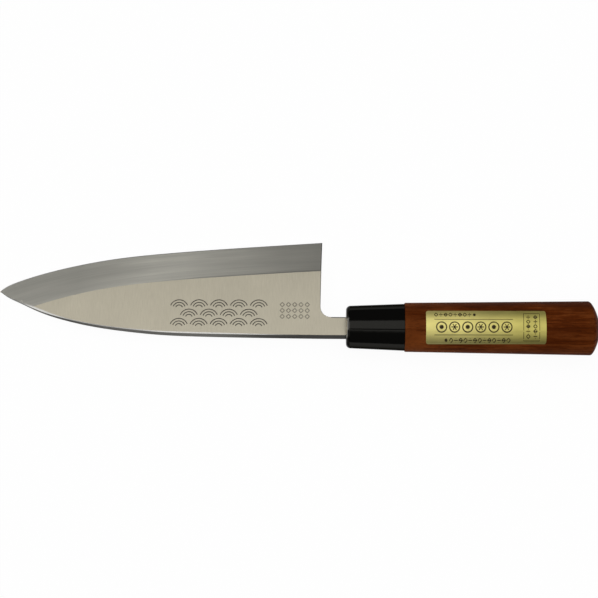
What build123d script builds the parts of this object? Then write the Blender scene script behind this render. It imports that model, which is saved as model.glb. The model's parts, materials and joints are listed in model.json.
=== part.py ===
from build123d import *
from math import acos, cos, degrees, hypot, radians, sin
import os

# Deba knife: a heavy single-bevel blade in a chestnut-shaped wooden handle with a black ferrule.
# Knife axes, used while building: +X runs along the handle from the tip to the butt and is zero at the
# ferrule's mouth, +Y points from the spine to the edge, and +Z out of the bevelled face.
# At the end the knife is laid on a table, flat back down, and the table's own axes become the part's.
# All sizes are in millimetres, angles in degrees.

# Blade
blade_length = 165.9        # from the tip to the heel, along X
blade_height = 51.9         # from the spine to the edge at the heel
spine_thickness = 6.2       # at the heel and in the neck
side_taper = 0.02           # how much thinner the flat gets per unit of height towards the edge
bevel_width = 17.0          # the ground bevel at the heel, square to the edge
bevel_tip_width = 16.2      # and at the tip
neck_length = 12.15         # from the heel to the ferrule
neck_height = 9.8
neck_drop = 0.6             # the neck's middle lies this far to the spine side of the handle's axis
heel_lean = 1.0             # the choil, the heel's rear face, starts this far from the heel's corner
choil_bow = 0.1             # depth of the slight hollow in the choil
choil_radius = 5.4          # where the choil runs into the neck
flat_stations = 12          # places along the blade where the flat's height is set
spine_bevel = 0.5           # small chamfer between the spine and the bevelled face

# The blade thins from the heel, 0, to the tip, 1: by this share of spine_thickness at the tip, and
# elsewhere by that share times the place along the blade raised to the power.
tip_thinning_share = 0.72
thinning_power = 3

# Heights of the edge and the spine along the blade, from the heel, 0, to the tip, 1, as shares of
# blade_height.
edge_shares = (
    (0.0, 1.0), (0.25, 0.943), (0.5, 0.8757), (0.65, 0.8166), (0.78, 0.7335),
    (0.88, 0.6464), (0.95, 0.5672), (0.98, 0.521), (1.0, 0.4726),
)
spine_shares = (
    (0.0, 0.0), (0.25, 0.0085), (0.4, 0.0181), (0.5, 0.032), (0.6, 0.0627), (0.7, 0.1082),
    (0.8, 0.1804), (0.88, 0.2675), (0.94, 0.358), (0.975, 0.414), (1.0, 0.4726),
)

# Hollow ground into the flat back, so that only a flat rim is left
hollow_wheel_radius = 450.0
hollow_edge_rim = 2.0
hollow_spine_rim = 3.6
hollow_shares = (0.03, 0.12, 0.3, 0.5, 0.7, 0.85, 0.945)
hollow_run_out_share = 0.03     # depth left where the hollow fades out at the heel

# Tang, the blade's stem inside the handle
tang_length = 84.0
tang_shoulder = 0.3         # step all round between neck and tang
tang_end_height = 4.2
tang_end_thickness = 2.8
tang_point_length = 6.0

# Handle section: an oval with a slight ridge on the bevelled side, joined to the oval by two flats.
# The ridge's direction is measured at the axis from +Y, in the section stretched to a unit circle.
ridge_angle = 110.0
ridge_reach_share = 1.008

# Ferrule
ferrule_length = 29.9
ferrule_front_half_height = 10.95
ferrule_front_half_thickness = 9.2
ferrule_rear_half_height = 12.2
ferrule_rear_half_thickness = 10.1
ferrule_round = 2.2         # rounded rim at the mouth
ferrule_front_wall = 5.0

# Handle
handle_length = 99.6
handle_front_half_height = 12.73
handle_front_half_thickness = 10.65
handle_rear_half_height = 14.08
handle_rear_half_thickness = 11.8
handle_front_bevel = 0.4    # small chamfer where the handle meets the ferrule
butt_dome_radius = 31.0
butt_dome_drop = 0.8        # the dome's middle lies this far to the spine side of the handle's axis
butt_round = 1.8
tenon_radius = 7.4
tenon_end_gap = 0.4
tenon_end_bevel = 0.6

# Clearances and fills
tenon_clearance = 0.1
tang_clearance = 0.25       # the tang's burnt-in seat in the handle
tang_end_gap = 3.0
seal_width = 0.7            # resin between the tang and the ferrule's slot
seal_recess = 0.5
overrun = 3.0               # how far every cutting tool runs past what it cuts

# Foil label on the ridge side of the handle
label_length = 61.3
label_width = 16.6          # seen square to the blade
label_start = 10.6          # from the handle's front end
label_centre_y = -2.4       # to the spine side of the handle's axis
label_corner = 1.1
label_thickness = 0.12

# Density in grams per cubic millimetre, for the knife's balance on the table
steel_density = 0.00785
resin_density = 0.0011
wood_density = 0.0006

# Search for the table's plane
ring_points = 90            # points round the underside of each section of the handle
steepest_slope_share = 0.5
search_steps = 60

heel_x = -neck_length
spine_y = -neck_height / 2 - neck_drop
neck_top_y = spine_y + neck_height
back_z = -spine_thickness / 2
front_z = spine_thickness / 2
handle_start_x = ferrule_length
handle_end_x = ferrule_length + handle_length


def between(shares, at):
    """Straight-line reading of a table of shares."""
    for (a, low), (b, high) in zip(shares, shares[1:]):
        if at <= b or (b, high) == shares[-1]:
            return low + (high - low) * (at - a) / (b - a)


def station(along_share):
    """X of a place on the blade, from the heel, 0, to the tip, 1."""
    return heel_x - blade_length * along_share


def outline_points(shares):
    return [(station(along), spine_y + blade_height * up) for along, up in shares]


def flat_height(x, y):
    """Z of the bevelled side's flat above the point (x, y)."""
    along_share = max(0, (heel_x - x) / blade_length)
    thickness = spine_thickness * (1 - tip_thinning_share * along_share ** thinning_power)
    return back_z + thickness - side_taper * (y - spine_y)


def bevel_width_at(x):
    along_share = (heel_x - x) / blade_length
    return bevel_width + (bevel_tip_width - bevel_width) * along_share


def upright(x):
    """A plane square to the handle's axis, with the knife's Y and Z as its X and Y."""
    return Plane(origin=(x, 0, 0), x_dir=(0, 1, 0), z_dir=(1, 0, 0))


# Blade

def blade_plate():
    """The blade and neck in outline, left a little proud of the edge and full in thickness."""
    edge_points = [(x, y + overrun / 2) for x, y in outline_points(edge_shares)]
    spine_points = outline_points(spine_shares)
    tip = Vector(*spine_points[-1])
    before = Vector(*spine_points[-2])
    past_tip = tip + (tip - before).normalized() * (overrun / 2)
    heel = Vector(heel_x, spine_y + blade_height)
    choil_middle = (heel_x - heel_lean / 2 - choil_bow, (heel.Y + neck_top_y) / 2)
    choil_foot = (heel_x - heel_lean, neck_top_y)
    outline = Curve() + [
        Spline(*spine_points, past_tip, tangents=[(-1, 0), tip - before]),
        Line(past_tip, edge_points[-1]),
        Spline(*reversed(edge_points)),
        Line(edge_points[0], heel),
        ThreePointArc(heel, choil_middle, choil_foot),
        Line(choil_foot, (0, neck_top_y)),
        Line((0, neck_top_y), (0, spine_y)),
        Line((0, spine_y), (heel_x, spine_y)),
    ]
    face = make_face(outline)
    corner = face.vertices().sort_by_distance((*choil_foot, 0))[0]
    face = fillet(corner, choil_radius)
    return extrude(Pos(0, 0, back_z) * face, spine_thickness + overrun, dir=(0, 0, 1))


def above_flat():
    """Everything above the flat of the bevelled side, which thins towards the tip and the edge."""
    xs = [overrun] + [station(at / flat_stations) for at in range(flat_stations + 2)]
    profile = [Vector(x, 0, flat_height(x, spine_y)) for x in xs]
    first, last = profile[0], profile[-1]
    top = front_z + spine_thickness + overrun
    outline = Curve() + [
        Line(first, profile[1]),
        Spline(*profile[1:], tangents=[(-1, 0, 0), last - profile[-2]]),
        Polyline(last, (last.X, 0, top), (first.X, 0, top), first),
    ]
    reach = blade_height + 4 * overrun
    side = Pos(0, spine_y - overrun, side_taper * overrun) * make_face(outline)
    return extrude(side, reach * hypot(1, side_taper), dir=(0, 1, -side_taper))


def above_bevel():
    """The wedge that grinding takes off, made square to the edge at every station."""
    points = [Vector(x, y) for x, y in outline_points(edge_shares)]
    edge = Spline(*points)
    first, last = edge % 0, edge % 1
    places = [(points[0] - first * overrun * 2, first)]
    places += [(point, edge % edge.param_at_point(point)) for point in points]
    places += [(points[-1] + last * overrun * 2, last)]
    sections = []
    for point, heading in places:
        inward = Vector(-heading.Y, heading.X).normalized()
        if inward.Y > 0:
            inward = inward * -1
        width = bevel_width_at(point.X)
        inner = point + inward * width
        rise = flat_height(inner.X, inner.Y) - back_z
        slope = width / rise
        up = overrun + spine_thickness
        low = Vector(point.X, point.Y, back_z) - inward * overrun * slope - Vector(0, 0, overrun)
        high = Vector(point.X, point.Y, back_z) + inward * up * slope + Vector(0, 0, up)
        outer = Vector(low.X, low.Y, high.Z)
        sections.append(make_face(Polyline(low, high, outer, close=True)))
    return loft(sections)


def back_hollow():
    """The shallow hollow that a large wheel leaves in the flat back."""
    sections = []
    for at in hollow_shares:
        low = spine_y + blade_height * between(spine_shares, at) + hollow_spine_rim
        high = spine_y + blade_height * between(edge_shares, at) - hollow_edge_rim
        depth = (high - low) ** 2 / (8 * hollow_wheel_radius)
        if at == hollow_shares[0]:
            depth = depth * hollow_run_out_share
        plane = upright(station(at))
        chord = Line((high, back_z), (low, back_z))
        arch = ThreePointArc((low, back_z), ((low + high) / 2, back_z + depth), (high, back_z))
        sections.append(plane * make_face([chord, arch]))
    return loft(sections)


def tang_block(extra, extra_length):
    """The tang, or with an extra all round the seat that it leaves in the handle."""
    middle_y = (spine_y + neck_top_y) / 2
    sizes = (
        (0, neck_height - 2 * tang_shoulder, spine_thickness - 2 * tang_shoulder),
        (tang_length - tang_point_length, tang_end_height, tang_end_thickness),
        (tang_length + extra_length, tang_end_height / 2, tang_end_thickness / 2),
    )
    sections = []
    for x, height, thickness in sizes:
        sketch = Rectangle(height + 2 * extra, thickness + 2 * extra)
        sections.append(upright(x) * Pos(middle_y, 0) * sketch)
    return loft(sections, ruled=True)


def make_blade():
    """The ground blade with its neck, and the tang that stands a shoulder in from it."""
    body = blade_plate() - above_flat() - above_bevel() - back_hollow()
    body = body.solids().sort_by(SortBy.VOLUME)[-1]
    spine = body.faces().sort_by(Axis.Y)[0:2]
    arris = [edge for face in spine for edge in face.edges() if edge.length > neck_length / 2]
    arris = [edge for edge in arris if edge.center().Z > back_z + spine_thickness / 2]
    body = chamfer(arris, spine_bevel)
    return body + tang_block(0, 0)


# Handle section

def section(x, half_height, half_thickness, grow=0):
    """The chestnut section at x: an oval, a ridge, and the two flats that touch the oval."""
    plane = upright(x)
    a = half_height + grow
    b = half_thickness + grow
    spread = degrees(acos(1 / ridge_reach_share))
    start = radians(ridge_angle - spread)
    end = radians(ridge_angle + spread)
    ridge = radians(ridge_angle)
    flat_start = (a * cos(start), b * sin(start))
    flat_end = (a * cos(end), b * sin(end))
    crest = (a * ridge_reach_share * cos(ridge), b * ridge_reach_share * sin(ridge))
    oval = EllipticalCenterArc((0, 0), a, b, degrees(end), arc_size=360 - 2 * spread)
    return plane * make_face([oval, Line(flat_start, crest), Line(crest, flat_end)])


def handle_sections(grow=0):
    return [
        section(handle_start_x, handle_front_half_height, handle_front_half_thickness, grow),
        section(handle_end_x, handle_rear_half_height, handle_rear_half_thickness, grow),
    ]


def make_ferrule():
    """A sleeve with a round socket for the handle's tenon and a slot for the blade in its front wall."""
    front = section(0, ferrule_front_half_height, ferrule_front_half_thickness)
    rear = section(ferrule_length, ferrule_rear_half_height, ferrule_rear_half_thickness)
    body = loft([front, rear], ruled=True)
    rim = body.faces().sort_by(Axis.X)[0].edges()
    body = fillet(rim, ferrule_round)
    bore_length = ferrule_length - ferrule_front_wall
    bore = Pos(ferrule_front_wall, 0, 0) * Rot(0, 90, 0) * Cylinder(
        tenon_radius + tenon_clearance, bore_length + overrun, align=(Align.CENTER, Align.CENTER, Align.MIN))
    return body - bore - slot()


def slot():
    """The opening that the neck of the blade enters, wider than the tang by the resin round it."""
    height = neck_height + 2 * (seal_width - tang_shoulder)
    thickness = spine_thickness + 2 * (seal_width - tang_shoulder)
    sketch = Rectangle(height, thickness)
    return extrude(upright(-overrun) * Pos((spine_y + neck_top_y) / 2, 0) * sketch,
                   overrun + ferrule_front_wall)


def make_seal():
    """Resin that fills the slot round the tang, a little short of the ferrule's mouth."""
    length = ferrule_front_wall - seal_recess
    block = Pos(seal_recess, 0, 0) * Box(
        length, 2 * neck_height, 2 * neck_height, align=(Align.MIN, Align.CENTER, Align.CENTER))
    return (slot() & block) - tang_block(0, 0)


def make_handle():
    """The wooden handle with its domed butt, the turned tenon and the tang's seat."""
    body = loft(handle_sections(), ruled=True)
    front_rim = body.faces().sort_by(Axis.X)[0].edges()
    body = chamfer(front_rim, handle_front_bevel)
    width = 2 * butt_dome_radius
    end = Pos(handle_end_x - butt_dome_radius / 2, 0, 0) * Box(
        butt_dome_radius, width, width, align=(Align.MIN, Align.CENTER, Align.CENTER))
    dome_x = handle_end_x - butt_dome_radius
    dome = Pos(dome_x, -butt_dome_drop, 0) * Rot(0, 0, 180) * Sphere(butt_dome_radius)
    body = body - (end - dome)
    rim = body.faces().sort_by(Axis.X)[-1].edges()
    body = fillet(rim, butt_round)
    tenon_length = ferrule_length - ferrule_front_wall - tenon_end_gap
    tenon = Pos(handle_start_x, 0, 0) * Rot(0, -90, 0) * Cylinder(
        tenon_radius, tenon_length, align=(Align.CENTER, Align.CENTER, Align.MIN))
    tenon = chamfer(tenon.edges().sort_by(Axis.X)[0], tenon_end_bevel)
    return body + tenon - tang_block(tang_clearance, tang_end_gap)


def make_label():
    """A thin skin that follows the handle's surface over the ridge."""
    skin = loft(handle_sections(label_thickness), ruled=True) - loft(handle_sections(), ruled=True)
    centre = Pos(handle_start_x + label_start + label_length / 2, label_centre_y, 0)
    outline = centre * RectangleRounded(label_length, label_width, label_corner)
    return skin & extrude(outline, 2 * handle_rear_half_thickness)


# Resting on the table

def underside():
    """Points that may touch the table: the blade's back in outline and the underside of the handle."""
    back = outline_points(edge_shares) + outline_points(spine_shares)
    back += [(0, spine_y), (0, neck_top_y)]
    points = [(x, y, back_z) for x, y in back]
    dome_depth = butt_dome_radius - (butt_dome_radius ** 2 - handle_rear_half_thickness ** 2) ** 0.5
    butt_x = handle_end_x - dome_depth - butt_round
    rings = (
        (ferrule_round, ferrule_front_half_height, ferrule_front_half_thickness),
        (handle_start_x + handle_front_bevel, handle_front_half_height, handle_front_half_thickness),
        (butt_x, handle_rear_half_height, handle_rear_half_thickness),
    )
    for x, a, b in rings:
        for turn in range(ring_points + 1):
            angle = radians(180 + 180 * turn / ring_points)
            points.append((x, a * cos(angle), b * sin(angle)))
    return points


def highest(function):
    """The value between the steepest slopes at which a single-peaked function is highest."""
    low, high = -steepest_slope_share, steepest_slope_share
    for _ in range(search_steps):
        third = (high - low) / 3
        if function(low + third) < function(high - third):
            low += third
        else:
            high -= third
    return (low + high) / 2


def table_plane(pieces, densities):
    """The table under the resting knife: of all planes beneath it, the highest at its balance point."""
    weights = [piece.volume * densities[name] for name, piece in pieces.items()]
    centres = [piece.center(CenterOf.MASS) for piece in pieces.values()]
    balance = sum((centre * weight for centre, weight in zip(centres, weights)), Vector()) / sum(weights)
    points = underside()

    def height(slope_x, slope_y):
        return min(z - slope_x * (x - balance.X) - slope_y * (y - balance.Y) for x, y, z in points)

    def best_x(slope_y):
        return highest(lambda slope_x: height(slope_x, slope_y))

    slope_y = highest(lambda trial: height(best_x(trial), trial))
    slope_x = best_x(slope_y)
    return Plane(
        origin=(balance.X, balance.Y, height(slope_x, slope_y)),
        x_dir=(1, 0, slope_x),
        z_dir=(-slope_x, -slope_y, 1),
    )


pieces = {
    "blade": make_blade(),
    "ferrule": make_ferrule(),
    "handle": make_handle(),
    "mouth_seal": make_seal(),
    "label": make_label(),
}
densities = {
    "blade": steel_density,
    "ferrule": resin_density,
    "handle": wood_density,
    "mouth_seal": resin_density,
    "label": resin_density,
}

table = table_plane(pieces, densities)
resting = {name: table.to_local_coords(piece) for name, piece in pieces.items()}
bounds = Compound(list(resting.values())).bounding_box()
to_bottom_centre = Pos(-bounds.center().X, -bounds.center().Y, -bounds.min.Z)

os.makedirs("parts", exist_ok=True)
for name, piece in resting.items():
    export_step(to_bottom_centre * piece, f"parts/{name}.step")
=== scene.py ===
import json
from math import acos, cos, pi, radians, sin, sqrt, tan

import bmesh
import bpy
import numpy as np
from mathutils import Matrix, Vector


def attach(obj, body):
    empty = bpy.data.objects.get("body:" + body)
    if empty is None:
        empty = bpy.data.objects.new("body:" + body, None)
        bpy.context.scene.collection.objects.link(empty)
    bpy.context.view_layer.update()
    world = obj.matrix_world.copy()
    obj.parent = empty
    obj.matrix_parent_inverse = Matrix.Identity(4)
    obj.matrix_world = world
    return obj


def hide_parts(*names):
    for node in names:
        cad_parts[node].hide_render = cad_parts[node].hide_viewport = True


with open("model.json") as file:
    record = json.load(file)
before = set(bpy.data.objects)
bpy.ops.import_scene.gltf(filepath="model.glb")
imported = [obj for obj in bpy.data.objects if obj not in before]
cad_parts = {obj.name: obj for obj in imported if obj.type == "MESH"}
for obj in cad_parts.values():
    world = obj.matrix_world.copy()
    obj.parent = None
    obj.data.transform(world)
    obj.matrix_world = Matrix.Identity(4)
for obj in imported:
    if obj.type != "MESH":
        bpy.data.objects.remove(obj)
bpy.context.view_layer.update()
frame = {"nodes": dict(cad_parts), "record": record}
print("frame loaded")

# The knife lies tilted on the table, so its pieces are made in its own axes, in millimetres: X from the
# tip to the butt and zero at the ferrule's mouth, Y from the spine to the edge, Z out of the bevelled face.
mounts = {mount["name"]: mount for mount in frame["record"]["mounts"]}
towardButt = Vector(mounts["grip"]["axis"])
outOfBevel = -Vector(mounts["blade_back"]["axis"])
towardEdge = outOfBevel.cross(towardButt)
gripCentre = Vector(mounts["grip"]["pos_m"])
mouthAlong = min(v.co.dot(towardButt) for v in frame["nodes"]["ferrule"].data.vertices)
knifeOrigin = gripCentre + towardButt * (mouthAlong - gripCentre.dot(towardButt))
knifeTurn = Matrix((towardButt, towardEdge, outOfBevel)).transposed()
millimetre = 0.001
knifeToTable = Matrix.Translation(knifeOrigin) @ knifeTurn.to_4x4() @ Matrix.Scale(millimetre, 4)

for old in [o for o in bpy.data.objects if o.type in {"CAMERA", "LIGHT"}]:
    bpy.data.objects.remove(old)


def reachAlong(points):
    return np.concatenate([[0], np.cumsum(np.hypot(*np.diff(points, axis=0).T))])


def smoothLine(points, count):
    # a natural cubic through the points, spaced by the straight distances between them
    points = np.array(points, float)
    along = reachAlong(points)
    gaps = np.diff(along)
    system = np.eye(len(points))
    wanted = np.zeros_like(points)
    for i in range(1, len(points) - 1):
        system[i, i - 1:i + 2] = gaps[i - 1], 2 * (gaps[i - 1] + gaps[i]), gaps[i]
        steps = (points[i + 1] - points[i]) / gaps[i] - (points[i] - points[i - 1]) / gaps[i - 1]
        wanted[i] = 6 * steps
    bend = np.linalg.solve(system, wanted)
    at = np.linspace(0, along[-1], count)
    i = np.clip(np.searchsorted(along, at, side="right") - 1, 0, len(gaps) - 1)
    h = gaps[i][:, None]
    before = (at - along[i])[:, None]
    after = h - before
    smooth = (bend[i] * after ** 3 + bend[i + 1] * before ** 3) / (6 * h)
    smooth += (points[i] / h - bend[i] * h / 6) * after
    smooth += (points[i + 1] / h - bend[i + 1] * h / 6) * before
    return smooth


def blended(first, last, shares):
    return [first + (last - first) * share for share in shares]


def quadStrips(rows, columns, loopRows=False, loopColumns=False, first=0):
    # faces of a grid of points stored row after row
    faces = []
    for r in range(rows if loopRows else rows - 1):
        for c in range(columns if loopColumns else columns - 1):
            nextRow = (r + 1) % rows
            nextColumn = (c + 1) % columns
            corners = (r, c), (nextRow, c), (nextRow, nextColumn), (r, nextColumn)
            faces.append(tuple(first + row * columns + column for row, column in corners))
    return faces


def makePiece(name, points, faces, materials, node=None, slots=None, flows=None, sharp=32.0,
              mergeBelow=1e-4, seams=True):
    # points in the knife's axes; slots gives each face the number of its material, seams are sharp between two
    mesh = bpy.data.meshes.new(name)
    mesh.from_pydata([knifeToTable @ Vector(point) for point in points], [], faces)
    for made in materials:
        mesh.materials.append(made)
    if slots is not None:
        mesh.polygons.foreach_set("material_index", slots)
    if flows is not None:
        flow = mesh.attributes.new("flow", "FLOAT_VECTOR", "POINT")
        flow.data.foreach_set("vector", np.array(flows, float).ravel())
    work = bmesh.new()
    work.from_mesh(mesh)
    bmesh.ops.remove_doubles(work, verts=work.verts, dist=mergeBelow * millimetre)
    bmesh.ops.dissolve_degenerate(work, edges=work.edges, dist=mergeBelow * millimetre)
    bmesh.ops.recalc_face_normals(work, faces=work.faces)
    for face in work.faces:
        face.smooth = True
    for edge in work.edges:
        sides = edge.link_faces
        if len(sides) == 2:
            changes = seams and sides[0].material_index != sides[1].material_index
            edge.smooth = not changes and edge.calc_face_angle(0) < radians(sharp)
    work.to_mesh(mesh)
    work.free()
    piece = bpy.data.objects.new(name, mesh)
    bpy.context.scene.collection.objects.link(piece)
    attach(piece, "root")
    if node:
        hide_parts(node)
    print("made", name, len(mesh.polygons), "faces")


def ringSkin(rings, closed=(0, -1), first=0):
    # a skin over rings of equally many points, closed at the rings named, or a tube closed on itself
    count = len(rings[0])
    points = [tuple(point) for ring in rings for point in ring]
    faces = quadStrips(len(rings), count, loopRows=not closed, loopColumns=True, first=first)
    for end in closed:
        middle, start = first + len(points), first + end % len(rings) * count
        faces += [(middle, start + i, start + (i + 1) % count) for i in range(count)]
        points.append(tuple(np.mean(rings[end], axis=0)))
    return points, faces


# Materials


def addNode(tree, kind, values=None, **settings):
    node = tree.nodes.new("ShaderNode" + kind)
    for key, value in settings.items():
        setattr(node, key, value)
    for key, value in (values or {}).items():
        if isinstance(value, bpy.types.NodeSocket):
            tree.links.new(value, node.inputs[key])
        else:
            node.inputs[key].default_value = value
    return node


def calc(tree, operation, *values):
    return addNode(tree, "Math", dict(enumerate(values)), operation=operation).outputs[0]


def apart(tree, place):
    return addNode(tree, "SeparateXYZ", {0: place}).outputs


def newMaterial(name, shading):
    made = bpy.data.materials.new(name)
    made.use_nodes = True
    shader = made.node_tree.nodes["Principled BSDF"]
    for key, value in shading.items():
        shader.inputs[key].default_value = value
    return made, made.node_tree, shader


def knifeCoordinates(tree):
    # where a point lies in the knife's axes, in millimetres
    turned = addNode(tree, "Mapping", {
        "Vector": addNode(tree, "TexCoord").outputs["Object"],
        "Location": knifeOrigin,
        "Rotation": knifeTurn.to_euler(),
        "Scale": (millimetre,) * 3,
    }, vector_type="TEXTURE")
    return turned.outputs["Vector"]


def noiseAt(tree, place, scale, detail=3.0, rough=0.55):
    # noise whose grain has the given number of cycles per millimetre along each of the knife's axes
    stretched = addNode(tree, "VectorMath", {0: place, 1: scale}, operation="MULTIPLY").outputs[0]
    return addNode(tree, "TexNoise", {
        "Vector": stretched, "Scale": 1.0, "Detail": detail, "Roughness": rough}).outputs["Fac"]


def spread(tree, value, levels=(0.0, 1.0), between=(0.3, 0.7)):
    # from the first level to the second as the value goes between two places
    return addNode(tree, "MapRange", {
        "Value": value, "From Min": between[0], "From Max": between[1], "To Min": levels[0], "To Max": levels[1],
    }).outputs["Result"]


def mixed(tree, share, first, second, blend="MIX"):
    node = addNode(tree, "Mix", {0: share, 6: first, 7: second}, data_type="RGBA", blend_type=blend)
    return node.outputs[2]


def colourRamp(tree, value, colours):
    # colours: (value from 0 to 1, colour)
    ramp = addNode(tree, "ValToRGB", {"Fac": value})
    stops = ramp.color_ramp.elements
    while len(stops) < len(colours):
        stops.new(0.5)
    for stop, (share, colour) in zip(stops, colours):
        stop.position, stop.color = share, colour
    return ramp.outputs["Color"]


def levelRamp(tree, value, span, levels):
    # a grey level for each share of a span
    share = spread(tree, value, between=span)
    return colourRamp(tree, share, [(at, (grey, grey, grey, 1)) for at, grey in levels])


def levelled(tree, colour, level):
    grey = addNode(tree, "CombineColor", {"Red": level, "Green": level, "Blue": level}).outputs[0]
    return mixed(tree, 1.0, colour, grey, blend="MULTIPLY")


def surfaced(tree, shader, colour, roughness, heights):
    # heights: (value, depth in millimetres) from the coarsest to the finest
    tree.links.new(colour, shader.inputs["Base Color"])
    tree.links.new(roughness, shader.inputs["Roughness"])
    normal = None
    for value, depth in heights:
        values = {"Height": value, "Distance": depth * millimetre, "Strength": 1.0}
        if normal is not None:
            values["Normal"] = normal
        normal = addNode(tree, "Bump", values).outputs["Normal"]
    tree.links.new(normal, shader.inputs["Normal"])


def paintedShadeAlong(tree, place, level, along):
    # painted shade and highlight: lighter and darker stretches painted along the bevel, and a painted line beside
    # the flat, dark near the heel and bright by the tip
    parts = apart(tree, place)
    level = calc(tree, "MULTIPLY", level, levelRamp(tree, parts["X"], (0.0, blade["length"]), along["levels"]))
    near = spread(tree, parts["Z"], between=along["lineBetween"])
    turn = spread(tree, parts["X"], along["paintedLineLevels"], along["lineTurns"])
    return calc(tree, "MULTIPLY", level, calc(tree, "MULTIPLY_ADD", near, turn, 1.0))


def steelMaterial(name, finish):
    made, tree, shader = newMaterial(name, {"Metallic": 1.0, "Specular Tint": finish.get("grazing", (1, 1, 1, 1))})
    # the bevel's grain follows its edge, by the distances that its points carry; the rest follows the knife's axes
    along = finish.get("paintedShadeAlongBlade")
    place = addNode(tree, "Attribute", attribute_name="flow").outputs["Vector"] if along else knifeCoordinates(tree)
    lines = noiseAt(tree, place, finish["lineScale"], detail=4.0, rough=0.6)
    cloud = noiseAt(tree, place, finish["cloudScale"], detail=2.0)
    colour = mixed(tree, spread(tree, lines), finish["dark"], finish["light"])
    level = spread(tree, cloud, (1.0 - finish["cloudSwing"], 1.0 + finish["cloudSwing"]))
    # painted shade and highlight along the bevel
    if along:
        level = paintedShadeAlong(tree, place, level, along)
    # painted shade and highlight along the spine and its chamfer, from the heel to the tip
    if "paintedShadeFromHeel" in finish:
        span = (heelX, heelX - blade["length"])
        level = calc(tree, "MULTIPLY", level, levelRamp(tree, apart(tree, place)["X"], span, finish["paintedShadeFromHeel"]))
    surfaced(tree, shader, levelled(tree, colour, level), spread(tree, lines, finish["roughness"]),
             [(cloud, finish["waviness"]), (lines, finish["scratchDepth"])])
    return made


# what two finishes share
worked = {
    "lineScale": (0.4, 3.0, 3.0), "cloudScale": (0.06, 0.2, 0.2), "cloudSwing": 0.1, "roughness": (0.42, 0.55),
    "waviness": 0.02, "scratchDepth": 0.008, "grazing": (0.47, 0.47, 0.47, 1),
}
polished = {
    "dark": (0.62, 0.61, 0.58, 1), "light": (0.72, 0.71, 0.68, 1),
    "lineScale": (0.5, 3.0, 3.0), "cloudScale": (0.05, 0.2, 0.2), "cloudSwing": 0.05, "roughness": (0.25, 0.35),
    "waviness": 0.005, "scratchDepth": 0.004,
}
steel = {
    "flat": {
        "dark": (0.60, 0.553, 0.432, 1), "light": (0.672, 0.622, 0.495, 1),
        "lineScale": (2.6, 0.22, 1.0), "cloudScale": (0.045, 0.05, 0.05), "cloudSwing": 0.03,
        "roughness": (0.34, 0.42), "waviness": 0.02, "scratchDepth": 0.004,
    },
    "bevel": {
        "dark": (0.84, 0.822, 0.735, 1), "light": (0.97, 0.95, 0.86, 1),
        "lineScale": (0.03, 1.7, 0.0), "cloudScale": (0.012, 0.2, 0.0), "cloudSwing": 0.09,
        "roughness": (0.56, 0.62), "waviness": 0.01, "scratchDepth": 0.006,
        # painted shade and highlight along the bevel and on the line beside the flat
        "paintedShadeAlongBlade": {
            "levels": ((0.0, 0.50), (0.12, 0.555), (0.25, 0.70), (0.43, 0.84), (0.53, 0.83), (0.66, 0.655),
                       (0.76, 0.56), (0.9, 0.53), (1.0, 0.5)),
            "lineBetween": (0.94, 0.98), "lineTurns": (60.0, 95.0), "paintedLineLevels": (-0.3, 0.07),
        },
    },
    # painted shade and highlight, as levels from the heel to the tip; the spine's dark colour is itself painted
    # shade, for the dark that it reflects
    "spine": {
        **worked, "dark": (0.162, 0.157, 0.146, 1), "light": (0.259, 0.254, 0.238, 1),
        "paintedShadeFromHeel": ((0.0, 0.34), (0.13, 0.34), (0.19, 0.46), (0.25, 0.7), (0.32, 1.0), (0.44, 0.9), (0.565, 0.8),
                     (0.67, 0.78), (0.77, 0.5), (0.83, 0.6), (0.9, 1.0), (1.0, 1.0)),
    },
    # a dark finish for the strip down the choil and along the neck
    "worn": {**worked, "dark": (0.030, 0.029, 0.027, 1), "light": (0.048, 0.047, 0.044, 1)},
    # a polished chamfer, lighter as polished steel is, with a painted highlight and shade along it
    "chamfer": {
        **polished,
        "paintedShadeFromHeel": ((0.0, 0.09), (0.07, 0.12), (0.12, 0.35), (0.18, 0.9), (0.23, 1.0), (0.5, 1.0), (0.565, 0.75),
                     (0.64, 0.6), (0.78, 0.6), (0.83, 0.95), (0.9, 1.0), (0.925, 0.5), (0.95, 0.3), (1.0, 0.3)),
    },
    "arris": polished,
    "back": {
        "dark": (0.36, 0.345, 0.30, 1), "light": (0.44, 0.42, 0.37, 1),
        "lineScale": (3.0, 0.18, 1.0), "cloudScale": (0.04, 0.06, 0.05), "cloudSwing": 0.05,
        "roughness": (0.3, 0.4), "waviness": 0.02, "scratchDepth": 0.005,
    },
    "rim": {
        "dark": (0.48, 0.47, 0.43, 1), "light": (0.55, 0.54, 0.50, 1),
        "lineScale": (0.2, 4.0, 4.0), "cloudScale": (0.04, 0.06, 0.05), "cloudSwing": 0.04,
        "roughness": (0.2, 0.28), "waviness": 0.01, "scratchDepth": 0.002,
    },
}


# Materials of the handle's pieces

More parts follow.
